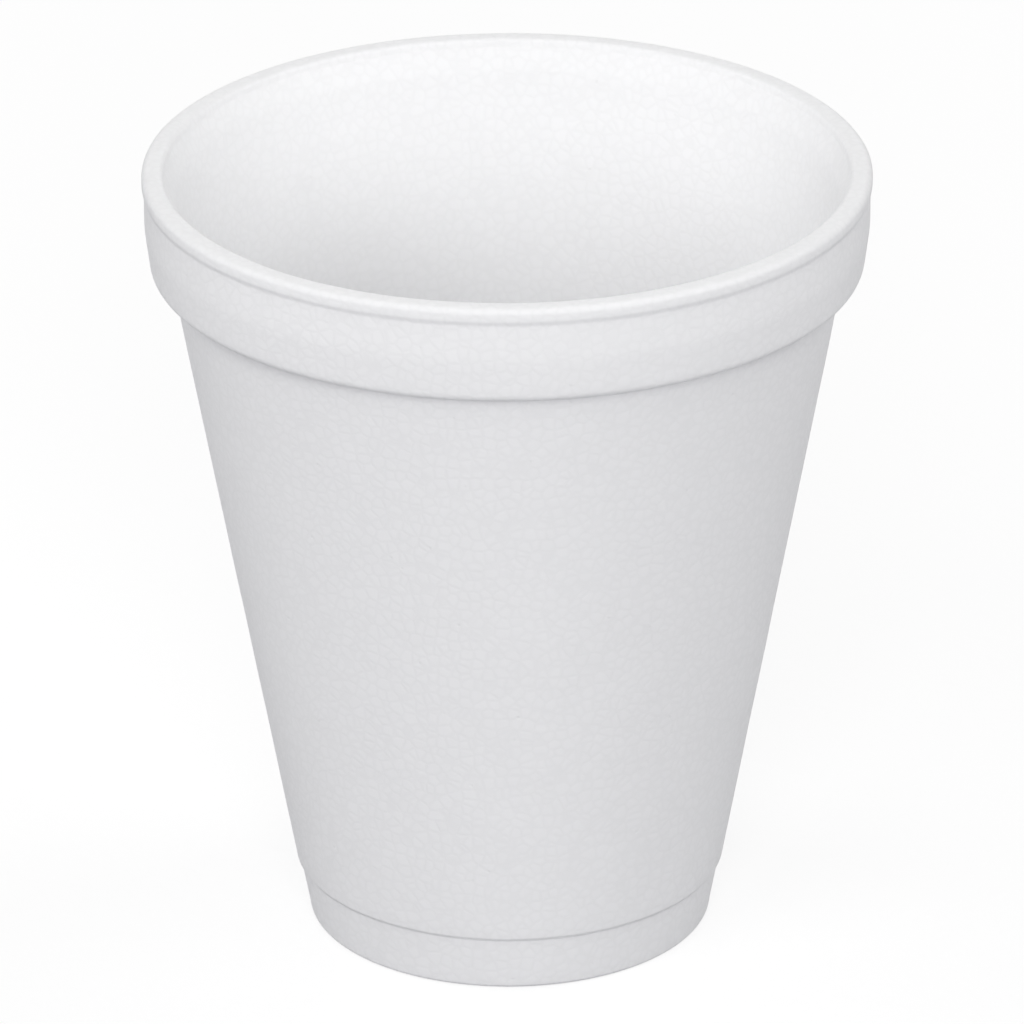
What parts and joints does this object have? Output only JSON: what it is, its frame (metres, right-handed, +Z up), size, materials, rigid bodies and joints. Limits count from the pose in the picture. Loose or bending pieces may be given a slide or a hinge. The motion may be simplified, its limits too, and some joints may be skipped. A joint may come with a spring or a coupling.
{
  "type": "foam cup",
  "caption": "Tapered white foam drinking cup with a rounded lip, a thick collar, a stepped foot ring and an open, empty inside.",
  "frame": {"origin": "middle of the foot ring's resting plane", "axes": "+Z up along the cup's axis, out of its mouth; the cup is round, so X and Y are free"},
  "size_m": [0.08, 0.08, 0.0893],
  "materials": {
    "foam": "matt moulded bead foam, faint cell pattern"
  },
  "bodies": {
    "root": {"cup": "foam"}
  },
  "joints": []
}
